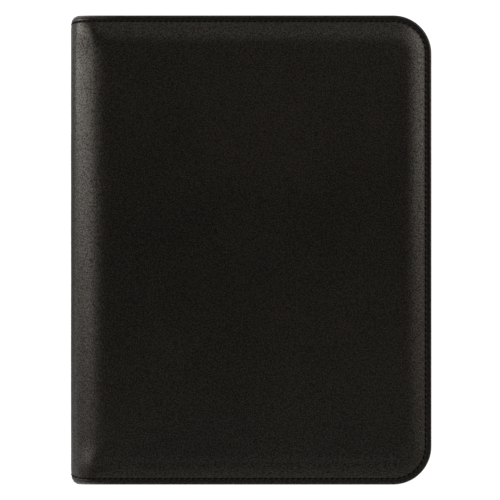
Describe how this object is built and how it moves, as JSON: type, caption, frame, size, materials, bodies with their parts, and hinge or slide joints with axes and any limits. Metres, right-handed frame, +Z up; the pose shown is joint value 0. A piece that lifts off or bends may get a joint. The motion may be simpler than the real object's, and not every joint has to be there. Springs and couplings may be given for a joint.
{
  "type": "zippered ring binder",
  "caption": "Black padded leather ring binder that zips shut round three sides, with a rounded spine, stitched rim, a lever-opened ring mechanism, pockets and a pen loop inside.",
  "frame": {"origin": "centre of the closed binder's bounding box, on the plane that the back cover rests on", "axes": "+X from the spine to the free edge, +Y to the head edge along the spine, +Z up out of the front cover"},
  "size_m": [0.26, 0.338, 0.042],
  "materials": {
    "leather": "black leather with a fine grain and a satin sheen",
    "pocket_leather": "thin black leather, matte",
    "lining": "black woven lining cloth",
    "foam": "cream padding",
    "board": "grey-brown board",
    "tape": "black herringbone zip tape",
    "elastic": "black ribbed elastic",
    "teeth": "dark metal zip teeth",
    "zip_metal": "polished gunmetal",
    "nickel": "bright nickel plate"
  },
  "bodies": {
    "back_cover": {"back_cover_leather": "leather", "back_foam": "foam", "back_board": "board", "back_lining": "lining", "back_zip_tape": "tape", "back_zip_teeth": "teeth", "back_zip_teeth_run": "teeth", "back_zip_stop": "zip_metal", "zip_end_stop": "zip_metal", "zip_end_tabs": "leather", "ring_plate": "nickel", "plate_rivets": "nickel", "lever_pins": "nickel"},
    "spine": {"spine_leather": "leather", "spine_stiffener": "board", "spine_lining": "lining"},
    "front_cover": {"front_cover_leather": "leather", "front_foam": "foam", "front_board": "board", "front_lining": "lining", "document_pocket": "pocket_leather", "card_pockets": "pocket_leather", "pen_loop": "elastic", "front_zip_tape": "tape", "front_zip_teeth": "teeth", "front_zip_teeth_run": "teeth", "front_zip_stop": "zip_metal"},
    "zip_slider": {"zip_slider": "zip_metal"},
    "zip_puller": {"zip_puller": "zip_metal"},
    "left_rings": {"left_blade": "nickel", "left_ring_1": "nickel", "left_ring_2": "nickel", "left_ring_3": "nickel"},
    "right_rings": {"right_blade": "nickel", "right_ring_1": "nickel", "right_ring_2": "nickel", "right_ring_3": "nickel"},
    "top_lever": {"top_lever": "nickel"},
    "bottom_lever": {"bottom_lever": "nickel"}
  },
  "joints": [
    {"name": "spine_hinge", "type": "hinge", "parent": "back_cover", "child": "spine", "pos_m": [-0.12614, 0, 0.00386], "axis": [0, -1, 0], "range_deg": [0, 90]},
    {"name": "cover_hinge", "type": "hinge", "parent": "spine", "child": "front_cover", "pos_m": [-0.12614, 0, 0.03814], "axis": [0, -1, 0], "range_deg": [0, 90]},
    {"name": "zip_slide", "type": "slide", "parent": "back_cover", "child": "zip_slider", "axis": [1, 0, 0], "range_m": [0, 0.188], "deforming": ["front_zip_teeth_run", "back_zip_teeth_run"]},
    {"name": "puller_swing", "type": "hinge", "parent": "zip_slider", "child": "zip_puller", "pos_m": [-0.0972, -0.1674, 0.021], "axis": [0, 0, -1], "range_deg": [0, 180]},
    {"name": "left_rings_swing", "type": "hinge", "parent": "back_cover", "child": "left_rings", "pos_m": [-0.1091, 0, 0.00969], "axis": [0, -1, 0], "range_deg": [0, 15]},
    {"name": "right_rings_swing", "type": "hinge", "parent": "back_cover", "child": "right_rings", "pos_m": [-0.0889, 0, 0.00969], "axis": [0, 1, 0], "range_deg": [0, 15]},
    {"name": "top_lever_swing", "type": "hinge", "parent": "back_cover", "child": "top_lever", "pos_m": [-0.099, 0.13, 0.0086], "axis": [-1, 0, 0], "range_deg": [0, 30]},
    {"name": "bottom_lever_swing", "type": "hinge", "parent": "back_cover", "child": "bottom_lever", "pos_m": [-0.099, -0.13, 0.0086], "axis": [1, 0, 0], "range_deg": [0, 30]}
  ],
  "couplings": [
    {"joint": "right_rings_swing", "follows": "left_rings_swing", "ratio": 1},
    {"joint": "top_lever_swing", "follows": "left_rings_swing", "ratio": 2},
    {"joint": "bottom_lever_swing", "follows": "left_rings_swing", "ratio": 2}
  ]
}
